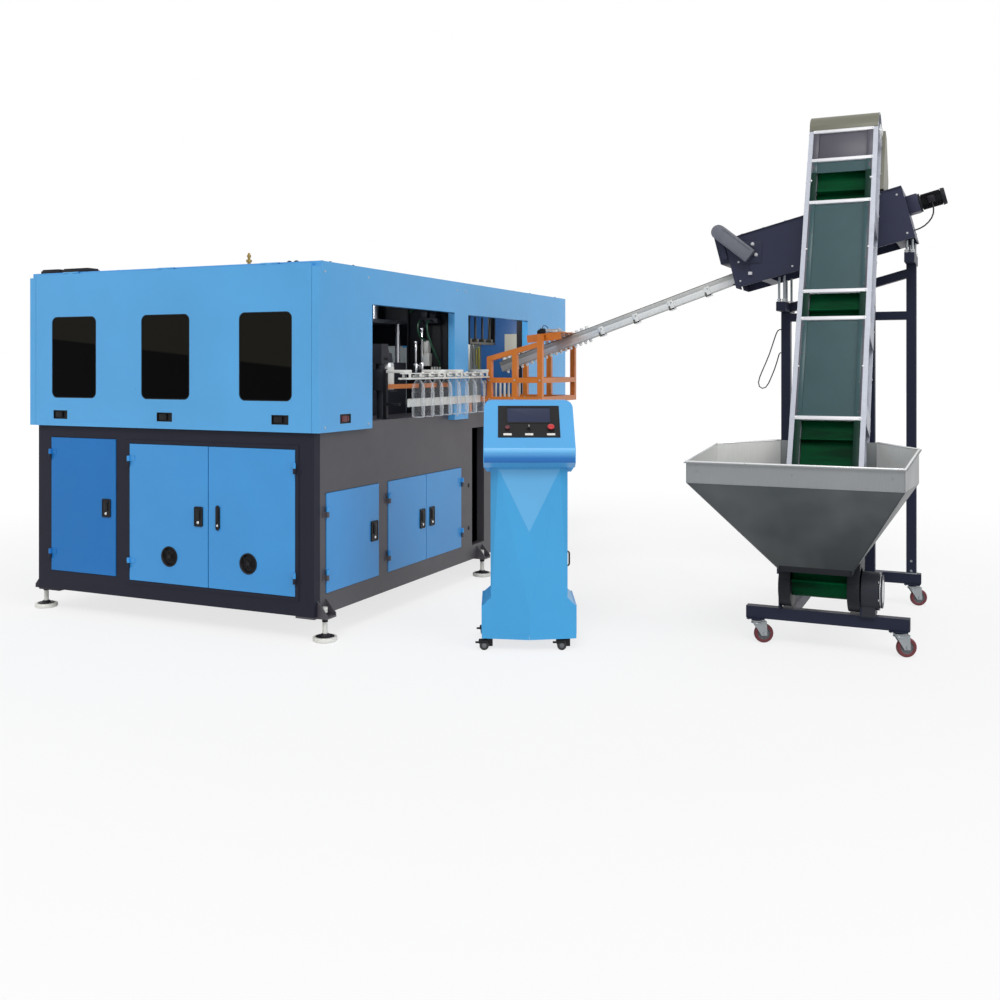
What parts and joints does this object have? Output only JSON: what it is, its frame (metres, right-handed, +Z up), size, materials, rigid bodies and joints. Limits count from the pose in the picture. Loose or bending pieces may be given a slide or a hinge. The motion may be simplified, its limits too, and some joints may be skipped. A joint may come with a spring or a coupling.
{
  "type": "blow moulding machine",
  "caption": "Linear bottle stretch blow moulding machine: guarded cabinet on a doored base, infeed cage and rail, preform unscrambler, cleated hopper elevator and operator console",
  "frame": {"origin": "On the floor, under the middle of the whole line's outline seen from above", "axes": "+X runs along the machine's front with the windows, from the cabinet towards the hopper elevator; +Y runs back along the side with the two work openings; +Z is up"},
  "size_m": [5.5308, 3.945, 3.2534],
  "materials": {
    "cabinet_blue": "satin powder coat",
    "door_blue": "satin powder coat",
    "base_slate": "satin powder coat",
    "frame_dark": "semi-matt paint",
    "cage_orange": "gloss paint",
    "sorter_slate": "satin paint",
    "head_olive": "satin paint",
    "cooler_blue": "gloss paint",
    "oven_grey": "satin paint",
    "steel": "brushed",
    "chrome": "polished",
    "stainless": "brushed sheet",
    "aluminium": "extruded and anodised",
    "cast": "painted casting",
    "window_smoke": "dark tinted sheet",
    "black_plastic": "moulded",
    "white_plastic": "moulded",
    "belt_green": "textured belt",
    "cover_tint": "tinted sheet",
    "clear_pet": "clear moulded",
    "tyre_maroon": "solid tyre",
    "button_red": "moulded",
    "cable_black": "cable sheath",
    "panel_beige": "satin paint"
  },
  "bodies": {
    "machine": {"base_front_frame": "base_slate", "base_side_frame": "base_slate", "base_shell": "base_slate", "bed_plate": "base_slate", "levelling_feet": "white_plastic", "upper_frame": "frame_dark", "roof_panel": "cabinet_blue", "rear_guards": "cabinet_blue", "side_guard_near": "cabinet_blue", "side_guard_far": "cabinet_blue", "clamp_frame": "cast", "stretch_unit": "steel", "oven_unit": "oven_grey", "electrical_panel": "panel_beige", "air_receiver": "cooler_blue", "outfeed_rail": "white_plastic", "bottles_and_preforms": "clear_pet", "guard_cage": "cage_orange", "preform_rail": "aluminium", "unscrambler_housing": "sorter_slate", "unscrambler_drives": "sorter_slate", "support_studs": "chrome", "elevator_frame": "aluminium", "elevator_belt": "belt_green", "cover_panels": "cover_tint", "head_cover": "head_olive", "drive_cover": "cast", "hopper": "stainless", "feeder_stand": "base_slate", "console_body": "cabinet_blue", "console_head": "cabinet_blue", "control_panel": "black_plastic", "motor_cable": "cable_black", "stand_cable": "cable_black"},
    "front_guard_leaf": {"front_guard": "cabinet_blue", "front_windows": "window_smoke", "guard_latches": "black_plastic"},
    "door_front_left": {"front_door_left": "door_blue"},
    "door_front_centre": {"front_door_centre": "door_blue"},
    "door_front_right": {"front_door_right": "door_blue"},
    "door_side_near": {"side_door_near": "door_blue"},
    "door_side_middle": {"side_door_middle": "door_blue"},
    "door_side_far": {"side_door_far": "door_blue"},
    "mould_platen": {"moving_platen": "cast"},
    "rods": {"stretch_rods": "chrome"},
    "roller_front": {"sorting_roller_front": "chrome"},
    "roller_back": {"sorting_roller_back": "chrome"},
    "drum_head": {"head_drum": "steel"},
    "drum_tail": {"tail_drum": "steel"},
    "fork_fl": {"castor_fork_fl": "steel"},
    "fork_fr": {"castor_fork_fr": "steel"},
    "fork_bl": {"castor_fork_bl": "steel"},
    "fork_br": {"castor_fork_br": "steel"},
    "wheel_fl": {"castor_wheel_fl": "tyre_maroon"},
    "wheel_fr": {"castor_wheel_fr": "tyre_maroon"},
    "wheel_bl": {"castor_wheel_bl": "tyre_maroon"},
    "wheel_br": {"castor_wheel_br": "tyre_maroon"},
    "start_button": {"push_button": "button_red"},
    "selector": {"selector_switch": "black_plastic"},
    "emergency_stop": {"stop_button": "button_red"}
  },
  "joints": [
    {"name": "front_guard_lift", "type": "hinge", "parent": "machine", "child": "front_guard_leaf", "pos_m": [-1.584, -1.964, 2.194], "axis": [-1, 0, 0], "range_deg": [0, 85]},
    {"name": "front_left_door_swing", "type": "hinge", "parent": "machine", "child": "door_front_left", "pos_m": [-2.543, -1.96, 0.701], "axis": [0, 0, -1], "range_deg": [0, 110]},
    {"name": "front_centre_door_swing", "type": "hinge", "parent": "machine", "child": "door_front_centre", "pos_m": [-1.883, -1.96, 0.6835], "axis": [0, 0, -1], "range_deg": [0, 110]},
    {"name": "front_right_door_swing", "type": "hinge", "parent": "machine", "child": "door_front_right", "pos_m": [-0.636, -1.96, 0.6835], "axis": [0, 0, 1], "range_deg": [0, 110]},
    {"name": "side_near_door_swing", "type": "hinge", "parent": "machine", "child": "door_side_near", "pos_m": [-0.495, -1.826, 0.5585], "axis": [0, 0, -1], "range_deg": [0, 110]},
    {"name": "side_middle_door_swing", "type": "hinge", "parent": "machine", "child": "door_side_middle", "pos_m": [-0.495, -1.11, 0.5585], "axis": [0, 0, -1], "range_deg": [0, 110]},
    {"name": "side_far_door_swing", "type": "hinge", "parent": "machine", "child": "door_side_far", "pos_m": [-0.495, -0.047, 0.5585], "axis": [0, 0, 1], "range_deg": [0, 110]},
    {"name": "platen_slide", "type": "slide", "parent": "machine", "child": "mould_platen", "axis": [1, 0, 0], "range_m": [0, 0.199]},
    {"name": "stretch_rod_slide", "type": "slide", "parent": "machine", "child": "rods", "axis": [0, 0, -1], "range_m": [0, 0.11]},
    {"name": "roller_front_spin", "type": "hinge", "parent": "machine", "child": "roller_front", "pos_m": [1.95786, 0.432, 2.50559], "axis": [0.9686, 0, 0.2487], "continuous": true},
    {"name": "roller_back_spin", "type": "hinge", "parent": "machine", "child": "roller_back", "pos_m": [1.95786, 0.548, 2.50559], "axis": [0.9686, 0, 0.2487], "continuous": true},
    {"name": "head_drum_spin", "type": "hinge", "parent": "machine", "child": "drum_head", "pos_m": [2.16, 0.30836, 3.12942], "axis": [1, 0, 0], "continuous": true},
    {"name": "tail_drum_spin", "type": "hinge", "parent": "machine", "child": "drum_tail", "pos_m": [2.16, -0.86, 0.35], "axis": [1, 0, 0], "continuous": true},
    {"name": "castor_swivel_fl", "type": "hinge", "parent": "machine", "child": "fork_fl", "pos_m": [1.802, -0.87, 0.12], "axis": [0, 0, 1], "continuous": true},
    {"name": "castor_roll_fl", "type": "hinge", "parent": "fork_fl", "child": "wheel_fl", "pos_m": [1.83854, -0.85373, 0.055], "axis": [-0.4067, 0.9135, 0], "continuous": true},
    {"name": "castor_swivel_fr", "type": "hinge", "parent": "machine", "child": "fork_fr", "pos_m": [2.575, -0.87, 0.12], "axis": [0, 0, 1], "continuous": true},
    {"name": "castor_roll_fr", "type": "hinge", "parent": "fork_fr", "child": "wheel_fr", "pos_m": [2.61154, -0.85373, 0.055], "axis": [-0.4067, 0.9135, 0], "continuous": true},
    {"name": "castor_swivel_bl", "type": "hinge", "parent": "machine", "child": "fork_bl", "pos_m": [1.755, 0.53, 0.12], "axis": [0, 0, 1], "continuous": true},
    {"name": "castor_roll_bl", "type": "hinge", "parent": "fork_bl", "child": "wheel_bl", "pos_m": [1.79154, 0.54627, 0.055], "axis": [-0.4067, 0.9135, 0], "continuous": true},
    {"name": "castor_swivel_br", "type": "hinge", "parent": "machine", "child": "fork_br", "pos_m": [2.56, 0.53, 0.12], "axis": [0, 0, 1], "continuous": true},
    {"name": "castor_roll_br", "type": "hinge", "parent": "fork_br", "child": "wheel_br", "pos_m": [2.59654, 0.54627, 0.055], "axis": [-0.4067, 0.9135, 0], "continuous": true},
    {"name": "start_press", "type": "slide", "parent": "machine", "child": "start_button", "axis": [-0.27, 0.5979, -0.7547], "range_m": [0, 0.004], "stiffness_N_per_m": 400},
    {"name": "selector_turn", "type": "hinge", "parent": "machine", "child": "selector", "pos_m": [0.66509, -1.55598, 1.24303], "axis": [0.27, -0.5979, 0.7547], "range_deg": [-45, 45]},
    {"name": "emergency_stop_press", "type": "slide", "parent": "machine", "child": "emergency_stop", "axis": [-0.27, 0.5979, -0.7547], "range_m": [0, 0.005], "stiffness_N_per_m": 600}
  ],
  "couplings": [
    {"joint": "roller_back_spin", "follows": "roller_front_spin", "ratio": -1},
    {"joint": "tail_drum_spin", "follows": "head_drum_spin", "ratio": 1}
  ]
}
